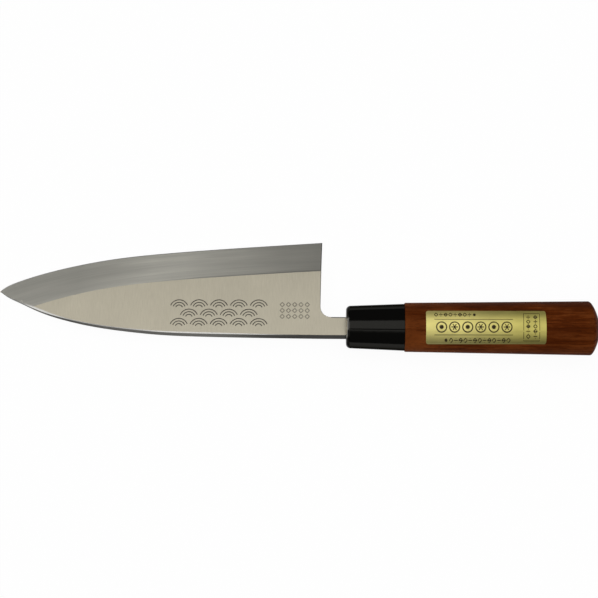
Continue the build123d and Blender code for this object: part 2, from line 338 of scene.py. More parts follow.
wood = {
    "dark": (0.036, 0.0068, 0.0008, 1), "middle": (0.068, 0.0135, 0.0016, 1), "light": (0.118, 0.030, 0.006, 1),
    "ruddy": (0.088, 0.0145, 0.0016, 1), "pore": (0.016, 0.0034, 0.0008, 1),
    "pith": (-46.0, -38.0), "ringWidth": 3.1, "ringWander": 14.0,
    # scale, detail and roughness of each noise
    "noises": {
        "wander": ((0.012, 0.09, 0.09), 2.0, 0.55), "streaks": ((0.022, 0.52, 0.52), 5.0, 0.6),
        "fibres": ((0.09, 5.0, 5.0), 3.0, 0.6), "flecks": ((0.14, 1.1, 1.1), 3.0, 0.6),
        "patches": ((0.035, 0.09, 0.09), 3.0, 0.55), "pores": ((0.32, 6.5, 6.5), 1.0, 0.4),
    },
    # what each adds to the share from dark to light; the wood grows paler between two places along X and Y
    "rings": 0.10, "streaks": (-0.06, 0.81), "fibres": 0.22, "flecks": (-0.22, 0.22),
    "paleAhead": ((0.0, 0.4), (62.0, 30.0)), "paleBelow": ((-0.08, 0.25), (10.0, -10.0)),
    "patches": (0.68, 1.3), "ruddyPatches": (0.3, 0.0), "poreBetween": (0.62, 0.70), "poreDark": 0.75,
    "roughness": (0.52, 0.62), "poreRough": 0.25, "specular": 0.023, "tint": (1.0, 0.75, 0.6, 1),
    "streakDepth": 0.03, "fibreDepth": 0.02, "poreDepth": 0.03,
}


def woodMaterial():
    made, tree, shader = newMaterial("red_brown_wood", {
        "Specular IOR Level": wood["specular"], "Specular Tint": wood["tint"]})
    place = knifeCoordinates(tree)
    parts = apart(tree, place)
    # growth rings round a pith that lies off to one side, drawn out along the handle
    y, z = (calc(tree, "SUBTRACT", parts[axis], middle) for axis, middle in zip("YZ", wood["pith"]))
    fromPith = addNode(tree, "VectorMath", {
        0: addNode(tree, "CombineXYZ", {"Y": y, "Z": z}).outputs[0]}, operation="LENGTH").outputs["Value"]
    noises = {name: noiseAt(tree, place, *values) for name, values in wood["noises"].items()}
    streaks, fibres, patches = noises["streaks"], noises["fibres"], noises["patches"]
    shifted = calc(tree, "MULTIPLY_ADD", noises["wander"], wood["ringWander"], fromPith)
    rings = calc(tree, "SINE", calc(tree, "MULTIPLY", shifted, 2 * pi / wood["ringWidth"]))
    pores = spread(tree, noises["pores"], between=wood["poreBetween"])
    share = calc(tree, "MULTIPLY_ADD", rings, wood["rings"], spread(tree, streaks, wood["streaks"]))
    share = calc(tree, "MULTIPLY_ADD", fibres, wood["fibres"], share)
    share = calc(tree, "ADD", share, spread(tree, noises["flecks"], wood["flecks"]))
    for axis, pale in (("X", wood["paleAhead"]), ("Y", wood["paleBelow"])):
        share = calc(tree, "ADD", share, spread(tree, parts[axis], *pale))
    colour = colourRamp(tree, share, ((0.1, wood["dark"]), (0.5, wood["middle"]), (0.9, wood["light"])))
    colour = levelled(tree, colour, spread(tree, patches, wood["patches"]))
    colour = mixed(tree, spread(tree, patches, wood["ruddyPatches"]), colour, wood["ruddy"])
    colour = mixed(tree, calc(tree, "MULTIPLY", pores, wood["poreDark"]), colour, wood["pore"])
    roughness = spread(tree, fibres, wood["roughness"])
    surfaced(tree, shader, colour, calc(tree, "MULTIPLY_ADD", pores, wood["poreRough"], roughness), [
        (streaks, wood["streakDepth"]), (fibres, wood["fibreDepth"]),
        (calc(tree, "SUBTRACT", 1.0, pores), wood["poreDepth"])])
    return made


ferruleFinish = {
    # lacquer as dark metal, whose gloss can be held down at a slant
    "black": (0.0195, 0.019, 0.0172, 1), "dust": (0.03, 0.03, 0.028, 1), "roughness": (0.07, 0.14),
    # the rim's pale grey is a painted reflection of the neck's steel
    "grazing": (0.4, 0.4, 0.4, 1), "rimPaintedGleam": (0.4, 0.388, 0.355, 1), "rimGrazing": (0.6, 0.6, 0.6, 1),
    "rimReach": 1.9,
    "scratchScale": (4.0, 0.35, 0.35), "scratchDepth": 0.003, "cloudScale": (0.2, 0.2, 0.2), "cloudDepth": 0.02,
    "speckScale": (3.2, 3.2, 3.2), "speckBetween": (0.74, 0.8),
    # painted reflection: the steel's gleam painted into the colour of the rim's round above the neck, by levels
    # across the knife and away from the flat mouth
    "gleamAcross": ((0.0, 0.12), (0.15, 0.12), (0.225, 1.0), (0.74, 1.0), (0.79, 0.12), (1.0, 0.12)),
    "gleamBetween": (-10.0, 6.0),
    "gleamAlong": ((0.0, 0.05), (0.012, 1.0), (0.11, 1.0), (0.24, 0.42), (0.34, 0.28), (0.5, 0.095), (0.77, 0.175),
                   (1.0, 0.175)),
    "gleamReach": 2.2, "gleamAbove": (2.5, 4.5), "gleamBelow": 0.12,
}


def ferruleMaterial(name, black, grazing, paintsGleam=False):
    finish = ferruleFinish
    made, tree, shader = newMaterial(name, {"Metallic": 1.0, "Specular Tint": finish[grazing]})
    place = knifeCoordinates(tree)
    scratches = noiseAt(tree, place, finish["scratchScale"], rough=0.7)
    cloud = noiseAt(tree, place, finish["cloudScale"], detail=2.0)
    specks = spread(tree, noiseAt(tree, place, finish["speckScale"], detail=0.0), between=finish["speckBetween"])
    colour = mixed(tree, specks, finish[black], finish["dust"])
    # painted reflection: the rim's colour is lightened where the neck's steel would be seen in it
    if paintsGleam:
        parts = apart(tree, place)
        across = levelRamp(tree, parts["Y"], finish["gleamBetween"], finish["gleamAcross"])
        along = levelRamp(tree, parts["X"], (0.0, finish["gleamReach"]), finish["gleamAlong"])
        above = spread(tree, parts["Z"], (finish["gleamBelow"], 1.0), finish["gleamAbove"])
        colour = levelled(tree, colour, calc(tree, "MULTIPLY", calc(tree, "MULTIPLY", across, along), above))
    surfaced(tree, shader, colour, spread(tree, scratches, finish["roughness"]),
             [(cloud, finish["cloudDepth"]), (scratches, finish["scratchDepth"])])
    return made


foil = {
    # the pale gold towards the ferrule is a painted highlight, fading to the deep gold towards the butt
    "pale": (0.975, 0.862, 0.296, 1), "deep": (0.708, 0.624, 0.165, 1), "highlightFadeBetween": (58.0, 92.0),
    "uneven": ((0.84, 1.0), (0.5, 0.9)), "roughness": (0.47, 0.57), "metallic": 0.65,
    "cloudScale": (0.08, 0.12, 0.12), "grainScale": (4.0, 4.0, 4.0), "grainShare": 0.4,
    "creaseScale": (0.35, 0.9, 0.9), "creaseDepth": 0.05, "grainDepth": 0.008,
    # painted highlight and shade: levels from the spine's side to the edge's, bright in the middle and dark at both
    # sides
    "across": ((0.0, 0.31), (0.03, 0.335), (0.09, 0.5), (0.18, 0.69), (0.27, 0.88), (0.36, 0.92), (0.485, 0.91),
               (0.6, 0.91), (0.73, 0.87), (0.82, 0.68), (0.91, 0.52), (1.0, 0.46)),
}


def foilMaterial():
    made, tree, shader = newMaterial("gold_foil", {"Metallic": foil["metallic"]})
    place = knifeCoordinates(tree)
    parts = apart(tree, place)
    cloud = noiseAt(tree, place, foil["cloudScale"])
    grain = noiseAt(tree, place, foil["grainScale"], detail=2.0)
    creases = noiseAt(tree, place, foil["creaseScale"], rough=0.65)
    # painted highlight: the gold is paler towards the ferrule
    gold = mixed(tree, spread(tree, parts["X"], between=foil["highlightFadeBetween"]), foil["pale"], foil["deep"])
    # painted highlight and shade across the foil
    low = label["centreY"] - label["width"] / 2
    level = levelRamp(tree, parts["Y"], (low, low + label["width"]), foil["across"])
    uneven = spread(tree, calc(tree, "MULTIPLY_ADD", grain, foil["grainShare"], cloud), *foil["uneven"])
    surfaced(tree, shader, levelled(tree, gold, calc(tree, "MULTIPLY", level, uneven)),
             spread(tree, creases, foil["roughness"]),
             [(creases, foil["creaseDepth"]), (grain, foil["grainDepth"])])
    return made


# the engraving and the print share a grain
marked = {"roughness": (0.45, 0.65), "specular": 0.2, "scale": (2.5, 2.5, 2.5), "detail": 3.0, "depth": 0.01}
darks = {
    "dark_resin": {
        "dark": (0.004, 0.0038, 0.0035, 1), "light": (0.013, 0.0125, 0.012, 1), "roughness": (0.45, 0.7),
        "specular": 0.3, "scale": (1.6, 1.6, 1.6), "detail": 4.0, "depth": 0.12,
    },
    "etched_dark": {**marked, "dark": (0.035, 0.031, 0.024, 1), "light": (0.07, 0.062, 0.05, 1)},
    "label_ink": {**marked, "dark": (0.022, 0.015, 0.004, 1), "light": (0.042, 0.03, 0.008, 1)},
}


def darkMaterial(name):
    # resin, etching or ink: one grain for its colour, roughness and height
    finish = darks[name]
    made, tree, shader = newMaterial(name, {"Specular IOR Level": finish["specular"]})
    grain = noiseAt(tree, knifeCoordinates(tree), finish["scale"], detail=finish["detail"])
    surfaced(tree, shader, mixed(tree, spread(tree, grain), finish["dark"], finish["light"]),
             spread(tree, grain, finish["roughness"]), [(grain, finish["depth"])])
    return made


# Blade

blade = {
    "length": 165.9, "height": 51.9, "thickness": 6.2, "sideTaper": 0.02,
    "tipThinning": 0.72, "thinningPower": 3,
    "bevelWidth": 17.0, "bevelTipWidth": 16.2, "honedWidth": 0.35,
    "neckLength": 12.15, "neckHeight": 9.8, "neckDrop": 0.6, "choilLean": 1.0, "choilBow": 0.1, "choilRadius": 5.4,
    "darkStripWidth": 0.4, "honedMost": 0.3, "chamferMost": 0.2, "rimMost": 0.5,
    "chamferWidths": (
        (0.0, 0.27), (0.06, 0.27), (0.13, 0.28), (0.19, 0.32), (0.25, 0.46), (0.32, 0.62), (0.44, 0.68),
        (0.565, 0.5), (0.67, 0.36), (0.78, 0.36), (0.83, 0.62), (0.865, 1.05), (0.9, 0.95), (0.93, 0.35),
        (1.0, 0.2)),
    "chamferLean": 9.0,
    "edgeShares": (
        (0.0, 1.0), (0.25, 0.943), (0.5, 0.8757), (0.65, 0.8166), (0.78, 0.7335),
        (0.88, 0.6464), (0.95, 0.5672), (0.98, 0.521), (1.0, 0.4726)),
    "spineShares": (
        (0.0, 0.0), (0.25, 0.0085), (0.4, 0.0181), (0.5, 0.032), (0.6, 0.0627), (0.7, 0.1082),
        (0.8, 0.1804), (0.88, 0.2675), (0.94, 0.358), (0.975, 0.414), (1.0, 0.4726)),
    "wheelRadius": 450.0, "edgeRim": 2.0, "spineRim": 3.6, "hollowStart": 0.03, "hollowFull": 0.12,
    "hollowEnd": 0.945,
    "tangLength": 84.0, "tangShoulder": 0.3, "tangEndHeight": 4.2, "tangEndThickness": 2.8, "tangPoint": 6.0,
}
# rows of faces from the edge to the spine, columns from the heel to the tip, and the points on the lines
# that they follow
rows = {
    "honed": 2, "bevel": 10, "flat": 22, "neck": 8, "wall": 4, "columns": 190, "columnSpread": (0.55, 0.45),
    "neckColumns": 8, "outline": 600, "choilSide": 200, "choilRound": 24, "choil": 400,
    "bendShare": 0.12, "bendPower": 3, "halvings": 24,
}
heelX = -blade["neckLength"]
spineY = -blade["neckHeight"] / 2 - blade["neckDrop"]
neckTopY = spineY + blade["neckHeight"]
neckMiddleY = (spineY + neckTopY) / 2
backZ = -blade["thickness"] / 2
tangTaperX = blade["tangLength"] - blade["tangPoint"]
tangTip = blade["tangEndHeight"] / 2, blade["tangEndThickness"] / 2
steelMaterials = {name: steelMaterial("steel_" + name, finish) for name, finish in steel.items()}


def outline(shares):
    points = [(heelX - blade["length"] * a, spineY + blade["height"] * up) for a, up in shares]
    return smoothLine(points, rows["outline"])


edgeLine = outline(blade["edgeShares"])
spineLine = outline(blade["spineShares"])


def flatHeight(x, y):
    along = max(0.0, (heelX - x) / blade["length"])
    thickness = blade["thickness"] * (1 - blade["tipThinning"] * along ** blade["thinningPower"])
    return backZ + thickness - blade["sideTaper"] * (y - spineY)


edgeSteps = np.diff(edgeLine, axis=0)
edgeReaches = np.hypot(*edgeSteps.T)
edgeHeading = edgeSteps / edgeReaches[:, None]
edgeInward = np.stack([edgeHeading[:, 1], -edgeHeading[:, 0]], axis=1)
edgeInward *= np.sign(-edgeInward[:, 1])[:, None]


def bevelHeight(x, y):
    # the ground bevel rises straight from the edge to the flat, square to the edge
    offsets = np.array((x, y)) - edgeLine[:-1]
    past = np.einsum("ij,ij->i", offsets, edgeHeading)
    inside = np.clip(past, 0, edgeReaches)
    inside[0] = min(past[0], edgeReaches[0])
    inside[-1] = max(past[-1], 0)
    gap = offsets - edgeHeading * inside[:, None]
    nearest = int(np.argmin(np.einsum("ij,ij->i", gap, gap)))
    distance = float(gap[nearest] @ edgeInward[nearest])
    along = (heelX - edgeLine[nearest, 0]) / blade["length"]
    width = blade["bevelWidth"] + (blade["bevelTipWidth"] - blade["bevelWidth"]) * along
    inner = edgeLine[nearest] + edgeInward[nearest] * width
    rise = flatHeight(*inner) - backZ
    return backZ + distance * rise / width


def choilLine():
    # from the heel's corner down the choil and round the radius to the neck
    top = np.array((heelX, spineY + blade["height"]))
    foot = np.array((heelX - blade["choilLean"], neckTopY))
    middle = (top + foot) / 2 - (blade["choilBow"], 0)
    radius = blade["choilRadius"]
    side = smoothLine([top, middle, foot], rows["choilSide"])
    stop = int(np.argmin(abs(side[:, 1] - (neckTopY + radius))))
    centre = side[stop] + np.array((radius, 0))
    turns = np.linspace(0, pi / 2, rows["choilRound"])
    return np.array(list(side[:stop]) + [centre + radius * np.array((-cos(a), -sin(a))) for a in turns])


def evenPoints(line, count):
    reach = reachAlong(line)
    at = np.linspace(0, 1, count) * reach[-1]
    return np.stack([np.interp(at, reach, line[:, i]) for i in (0, 1)], axis=1)


choil = choilLine()
neckStartX = choil[-1][0]
choilReach = evenPoints(choil, rows["choil"])


def columnPlace(share):
    # ends of the column at a share of the blade: on the edge and on the spine
    edgeX = heelX - blade["length"] * share
    spineX = neckStartX + (heelX - blade["length"] - neckStartX) * share
    return [np.array((x, np.interp(-x, -line[:, 0], line[:, 1])))
            for x, line in ((edgeX, edgeLine), (spineX, spineLine))]


heelEdge, heelSpine = columnPlace(0)
neckT = 1 - blade["neckHeight"] / blade["height"]
rowCount = rows["honed"] + rows["bevel"] + rows["flat"] + rows["neck"] + 1
neckRow = rowCount - 1 - rows["neck"]
bevelRow = rows["honed"] + rows["bevel"]


def columnPoint(share, edge, spine, t):
    # t from 0 at the edge to 1 at the spine; near the heel the column bends to follow the choil
    straight = edge + (spine - edge) * t
    fade = max(0.0, 1 - share / rows["bendShare"]) ** rows["bendPower"]
    if fade == 0:
        return straight
    if t < neckT:
        onChoil = choilReach[int(round(t / neckT * (len(choilReach) - 1)))]
    else:
        onChoil = choilReach[-1] + (heelSpine - choilReach[-1]) * (t - neckT) / (1 - neckT)
    return straight + (onChoil - heelEdge - (heelSpine - heelEdge) * t) * fade


def crossing(share, edge, spine, top):
    # where the bevel meets the flat along a column
    def onBevel(t):
        point = columnPoint(share, edge, spine, t)
        return bevelHeight(*point) < flatHeight(*point)

    low, high = 0.0, top
    if onBevel(top):
        return top
    for _ in range(rows["halvings"]):
        middle = (low + high) / 2
        low, high = (middle, high) if onBevel(middle) else (low, middle)
    return high


def columnShares(height, meet, lastT):
    # places down a column: the honed strip, the bevel, the flat and, as high as the neck is, the rest
    honed = min(blade["honedWidth"] / height, meet * blade["honedMost"])
    ts = list(np.linspace(0, honed, rows["honed"] + 1))
    ts += list(np.linspace(honed, meet, rows["bevel"] + 1)[1:])
    if meet < neckT:
        ts += list(np.linspace(meet, neckT, rows["flat"] + 1)[1:])
        ts += list(np.linspace(neckT + blade["darkStripWidth"] / height, lastT, rows["neck"]))
    else:
        ts += list(np.linspace(meet, lastT, rows["flat"] + rows["neck"] + 1)[1:])
    return ts


def backColumn(share, edge, spine, height, ts):
    # a rim, the hollow and a rim again
    full = np.clip((share - blade["hollowStart"]) / (blade["hollowFull"] - blade["hollowStart"]), 0, 1)
    full = full * full * (3 - 2 * full)
    blend = np.clip(share / blade["hollowStart"], 0, 1)
    edgeT = min(blade["edgeRim"] / height, blade["rimMost"])
    spineT = 1 - min(blade["spineRim"] / height, blade["rimMost"])
    depth = full * ((spineT - edgeT) * height) ** 2 / (8 * blade["wheelRadius"])
    wanted = [0, edgeT / 2, edgeT]
    wanted += list(np.linspace(edgeT, spineT, rowCount - 4)[1:])
    wanted += [(1 + spineT) / 2, 1]
    column = []
    for t, u in zip(ts[:-1] + [1.0], wanted):
        u = t + (u - t) * blend
        x, y = columnPoint(share, edge, spine, u)
        inside = (u - edgeT) / max(1e-9, spineT - edgeT)
        lift = 4 * depth * inside * (1 - inside) if 0 < inside < 1 else 0.0
        column.append((x, y, backZ + lift))
    return column


def bladeGrids():
    # columns of points from the edge to the spine: the bevelled side, the back, and the place in the grain
    crowded, even = rows["columnSpread"]
    shares = (1 - np.cos(np.linspace(0, pi, rows["columns"]))) / 2
    shares = crowded * shares + even * np.linspace(0, 1, rows["columns"])
    tops, backs, flows = [], [], []
    for share in shares:
        edge, spine = columnPlace(share)
        height = max(1e-6, np.hypot(*(edge - spine)))
        lastT = 1 - min(np.interp(share, *zip(*blade["chamferWidths"])) / height, blade["chamferMost"])
        meet = crossing(share, edge, spine, lastT)
        ts = columnShares(height, meet, lastT)
        column = []
        for t in ts:
            x, y = columnPoint(share, edge, spine, t)
            column.append((x, y, max(backZ, min(flatHeight(x, y), bevelHeight(x, y)))))
        tops.append(column)
        flows.append([(share * blade["length"], t * height, t / meet) for t in ts])
        backs.append(backColumn(share, edge, spine, height, ts))
    return np.array(tops), np.array(backs), np.array(flows)


topGrid, backGrid, flowGrid = bladeGrids()
print("blade columns worked out")


def tangSize(x, extra=0.0):
    share = min(1.0, x / tangTaperX)
    tall = blade["neckHeight"] - 2 * blade["tangShoulder"]
    thick = blade["thickness"] - 2 * blade["tangShoulder"]
    tall += (blade["tangEndHeight"] - tall) * share
    thick += (blade["tangEndThickness"] - thick) * share
    return tall + 2 * extra, thick + 2 * extra


def bladePiece():
    points, faces, slots, flows = [], [], [], []
    names = list(steelMaterials)
    wall = np.linspace(0, 1, rows["wall"] + 1)

    def add(block, kind, flow=None):
        # block: rows of points; kind names a finish, or kind(r, c) names that of the face after point (r, c)
        first = len(points)
        points.extend(tuple(p) for row in block for p in row)
        flows.extend(tuple(p) for row in (block if flow is None else flow) for p in row)
        for face in quadStrips(len(block), len(block[0]), first=first):
            r, c = divmod(face[0] - first, len(block[0]))
            faces.append(face)
            slots.append(names.index(kind(r, c) if callable(kind) else kind))

    def topKind(r, c):
        # a dark strip runs down the choil and on along the neck
        if r == 0 and c < neckRow:
            return "worn"
        if c < rows["honed"]:
            return "arris"
        return "bevel" if c < bevelRow else "flat"

    def backKind(r, c):
        along = (heelX - backGrid[r, 0, 0]) / blade["length"]
        inHollow = blade["hollowStart"] < along < blade["hollowEnd"] and 2 <= c < rowCount - 3
        return "back" if inHollow else "rim"

    add(topGrid, topKind, flowGrid)
    add(backGrid, backKind, flowGrid)

    # spine: a polished chamfer that leans only a little, then straight down to the back
    spineTop, spineFoot = topGrid[:, -1], backGrid[:, -1]
    lip = spineFoot.copy()
    drop = np.hypot(*(spineTop - spineFoot)[:, :2].T)
    lip[:, 2] = spineTop[:, 2] - drop * tan(radians(blade["chamferLean"]))
    add([spineTop, lip], "chamfer")
    add(blended(lip, spineFoot, wall), "spine")

    # choil: the heel's rear face, from the edge to the neck
    add(blended(topGrid[0, :neckRow + 1], backGrid[0, :neckRow + 1], wall), "flat")

    # neck: top, back, the side towards the edge and the spine's side
    xs = np.linspace(neckStartX, 0, rows["neckColumns"] + 1)

    def drawnOut(start):
        copies = np.repeat(start[None], len(xs), axis=0)
        copies[1:, :, 0] = xs[1:, None]
        return copies

    neckTop, neckBack = drawnOut(topGrid[0, neckRow:]), drawnOut(backGrid[0, neckRow:])
    add(neckTop, lambda r, c: "flat" if c else "worn")
    add(neckBack, "rim")
    add(blended(neckTop[:, 0], neckBack[:, 0], wall), "flat")
    lips = np.repeat(lip[:1], len(xs), axis=0)
    lips[:, 0] = xs
    add([neckTop[:, -1], lips], "chamfer")
    add(blended(lips, neckBack[:, -1], wall), "spine")

    # tang: the neck's end in outline, a shoulder in, then tapering to a point inside the handle
    endTop, endBack = neckTop[-1], neckBack[-1]
    side = blended(endTop[0], endBack[0], wall)[1:-1]
    spineSide = blended(lips[-1], endBack[-1], wall)[:-1]
    ring = np.array(list(endTop) + spineSide + list(endBack[::-1]) + side[::-1])
    rings = [ring]
    for x, tall, thick in ((0, *tangSize(0)), (tangTaperX, *tangSize(tangTaperX)), (blade["tangLength"], *tangTip)):
        scaled = ring.copy()
        scaled[:, 0] = x
        scaled[:, 1] = neckMiddleY + (ring[:, 1] - neckMiddleY) * tall / blade["neckHeight"]
        scaled[:, 2] = ring[:, 2] * thick / blade["thickness"]
        rings.append(scaled)
    made, madeFaces = ringSkin(rings, closed=(-1,), first=len(points))
    points.extend(made)
    flows.extend(made)
    faces.extend(madeFaces)
    slots.extend([names.index("spine")] * len(madeFaces))

    makePiece("blade_steel", points, faces, list(steelMaterials.values()), node="blade", slots=slots, flows=flows,
              sharp=12.0, mergeBelow=2e-3)


bladePiece()


# Handle

section = {
    "ridgeAngle": 110.0, "ridgeReach": 1.008, "ridgeRound": 0.4,
    "arcPoints": 120, "crestPoints": 5, "flatPoints": 3, "upperFrom": -0.2,
}
ferrule = {
    "length": 29.9, "front": (10.95, 9.2), "rear": (12.2, 10.1), "round": 2.2, "wall": 5.0,
    "rearEase": 0.15, "slotEase": 0.2, "sealWidth": 0.7, "sealRecess": 0.5, "sealCrown": 0.5, "boreRadius": 7.5,
    "faceRings": (0.4, 0.8), "roundRings": 9, "sideRings": 14, "sealRings": (0.2, 0.5, 0.8),
}
handle = {
    "length": 99.6, "front": (12.73, 10.65), "rear": (14.08, 11.8),
    # the bevel in front is broken in two: a place along it and what is left of it there, as shares of it
    "frontBevel": 0.4, "bevelMiddle": 0.35, "bevelRound": 0.3,
    "domeRadius": 31.0, "domeDrop": 0.8, "buttSideRun": 2.0, "buttDomeRun": 8.5,
    "tenonRadius": 7.4, "tenonGap": 0.4, "tenonBevel": 0.6, "seatGap": 0.25, "seatEndGap": 3.0,
    "sideRings": 40, "buttRings": 11, "domeRings": 12, "poleShare": 0.04, "cornerRounds": 12,
}
handleStartX = ferrule["length"]
handleEndX = handleStartX + handle["length"]


def ovalWithRidge():
    # the section in a space where its oval is a unit circle
    ridge = radians(section["ridgeAngle"])
    away = acos(1 / section["ridgeReach"])
    arc = [(cos(a), sin(a)) for a in np.linspace(ridge + away, ridge - away + 2 * pi, section["arcPoints"])]
    small = section["ridgeRound"]
    centre = np.array((cos(ridge), sin(ridge))) * (section["ridgeReach"] - small / cos(away))
    turns = np.linspace(ridge - away, ridge + away, section["crestPoints"])
    crest = [centre + small * np.array((cos(a), sin(a))) for a in turns]
    share = np.linspace(0, 1, section["flatPoints"] + 1)[1:-1, None]
    first = np.array(arc[-1]) * (1 - share) + crest[0] * share
    second = crest[-1] * (1 - share) + np.array(arc[0]) * share
    return np.concatenate([arc, first, crest, second])


unitSection = ovalWithRidge()
ringAngles = np.arctan2(unitSection[:, 1], unitSection[:, 0])


def ringAt(x, y, z):
    return np.column_stack([np.full(len(unitSection), float(x)), y, z])


def sectionRing(x, halves, inset=0.0):
    return ringAt(x, unitSection[:, 0] * (halves[0] - inset), unitSection[:, 1] * (halves[1] - inset))


def circleRing(x, radius):
    return ringAt(x, radius * np.cos(ringAngles), radius * np.sin(ringAngles))


def boxRing(x, tall, thick):
    reach = 1 / np.maximum(abs(np.cos(ringAngles)) * 2 / tall, abs(np.sin(ringAngles)) * 2 / thick)
    return ringAt(x, neckMiddleY + reach * np.cos(ringAngles), reach * np.sin(ringAngles))


def halvesAt(x, piece, start):
    share = (x - start) / piece["length"]
    return [a + (b - a) * share for a, b in zip(piece["front"], piece["rear"])]


def slotSize(extra=0.0):
    # the slot in the ferrule's front wall holds the tang and the seal round it
    around = 2 * (ferrule["sealWidth"] - blade["tangShoulder"])
    return blade["neckHeight"] + around + extra, blade["thickness"] + around + extra


def domeX(y, z):
    radius = handle["domeRadius"]
    return handleEndX - radius + np.sqrt(radius ** 2 - (y + handle["domeDrop"]) ** 2 - z ** 2)


def handlePiece():
    start, bevel, tenon = handleStartX, handle["frontBevel"], handle["tenonRadius"]
    tenonFront = ferrule["wall"] + handle["tenonGap"]
    rings = [
        boxRing(blade["tangLength"] + handle["seatEndGap"], *tangTip),
        boxRing(tangTaperX, *tangSize(tangTaperX, handle["seatGap"])),
        boxRing(tenonFront, *tangSize(tenonFront, handle["seatGap"])),
        circleRing(tenonFront, tenon - handle["tenonBevel"]),
        circleRing(tenonFront + handle["tenonBevel"], tenon),
        circleRing(start, tenon),
        sectionRing(start, handle["front"], bevel),
        sectionRing(start + bevel * handle["bevelMiddle"], handle["front"], bevel * handle["bevelRound"]),
    ]
    front = sectionRing(start + bevel, halvesAt(start + bevel, handle, start))
    # where each line along the side meets the dome
    corner = sectionRing(handleEndX, handle["rear"])
    for _ in range(handle["cornerRounds"]):
        corner[:, 0] = domeX(corner[:, 1], corner[:, 2])
        corner[:, 1:] = unitSection * [halvesAt(x, handle, start) for x in corner[:, 0]]
    back = front - corner
    sideEnd = corner + back / np.linalg.norm(back, axis=1)[:, None] * handle["buttSideRun"]
    rings += blended(front, sideEnd, np.linspace(0, 1, handle["sideRings"]))
    pole = np.array((0.0, -handle["domeDrop"], 0.0))

    def onDome(share):
        ring = pole + (corner - pole) * share
        ring[:, 0] = domeX(ring[:, 1], ring[:, 2])
        return ring

    domeShare = 1 - handle["buttDomeRun"] / handle["rear"][0]
    domeStart = onDome(domeShare)
    for t in np.linspace(0, 1, handle["buttRings"])[1:-1]:
        rings.append((1 - t) ** 2 * sideEnd + 2 * t * (1 - t) * corner + t ** 2 * domeStart)
    rings += [onDome(share) for share in np.linspace(domeShare, handle["poleShare"], handle["domeRings"])]
    points, faces = ringSkin(rings)
    makePiece("handle_wood", points, faces, [woodMaterial()], node="handle", sharp=28.0)


def ferrulePiece():
    ease, small = ferrule["slotEase"], ferrule["round"]
    rings = [boxRing(ferrule["wall"], *slotSize()), boxRing(ease, *slotSize()), boxRing(0, *slotSize(2 * ease))]
    rings += blended(rings[2], sectionRing(0, ferrule["front"], small), ferrule["faceRings"])
    for turn in np.linspace(0, pi / 2, ferrule["roundRings"]):
        x = small * (1 - cos(turn))
        rings.append(sectionRing(x, halvesAt(x, ferrule, 0), small * (1 - sin(turn))))
    lastX = ferrule["length"] - ferrule["rearEase"]
    rings += [sectionRing(x, halvesAt(x, ferrule, 0)) for x in np.linspace(small, lastX, ferrule["sideRings"])[1:]]
    rings += [
        sectionRing(ferrule["length"], ferrule["rear"], ferrule["rearEase"]),
        circleRing(ferrule["length"], ferrule["boreRadius"]),
        circleRing(ferrule["wall"], ferrule["boreRadius"]),
    ]
    points, faces = ringSkin(rings, closed=())
    reach = ferruleFinish["rimReach"]
    slots = [1 if max(points[corner][0] for corner in face) < reach else 0 for face in faces]
    # the rim's faces take the painted reflection
    finishes = [ferruleMaterial("black_ferrule", "black", "grazing"),
                ferruleMaterial("black_ferrule_rim_painted_gleam", "rimPaintedGleam", "rimGrazing", paintsGleam=True)]
    makePiece("ferrule_black", points, faces, finishes, node="ferrule", slots=slots, sharp=28.0, seams=False)


def sealPiece():
    front, wall = ferrule["sealRecess"], ferrule["wall"]
    rings = [boxRing(wall, *slotSize()), boxRing(front, *slotSize())]
    inner = boxRing(front, *tangSize(front))
    for share in ferrule["sealRings"]:
        ring = rings[1] + (inner - rings[1]) * share
        ring[:, 0] += ferrule["sealCrown"] * share * (1 - share)
        rings.append(ring)
    rings += [inner, boxRing(wall, *tangSize(wall))]
    points, faces = ringSkin(rings, closed=())
    makePiece("mouth_resin", points, faces, [darkMaterial("dark_resin")], node="mouth_seal")


# Label

label = {
    "length": 61.3, "width": 16.6, "start": 10.6, "centreY": -2.4, "corner": 1.1, "thickness": 0.12, "under": 0.004,
    "columns": 70, "cornerSteps": 8, "belowRidge": 12, "aboveRidge": 16,
    "endBow": 0.4, "endTrim": 0.35, "endPower": 6,
}
labelMiddleX = handleStartX + label["start"] + label["length"] / 2
upperSide = unitSection[unitSection[:, 1] > section["upperFrom"]]
upperSide = upperSide[np.argsort(upperSide[:, 0])]


def handleTop(x, y, grow=0.0):
    # height of the handle's upper side
    a, b = (half + grow for half in halvesAt(x, handle, handleStartX))
    return b * float(np.interp(y / a, upperSide[:, 0], upperSide[:, 1]))


def foilTop(x, y):
    return handleTop(x, y, label["thickness"])


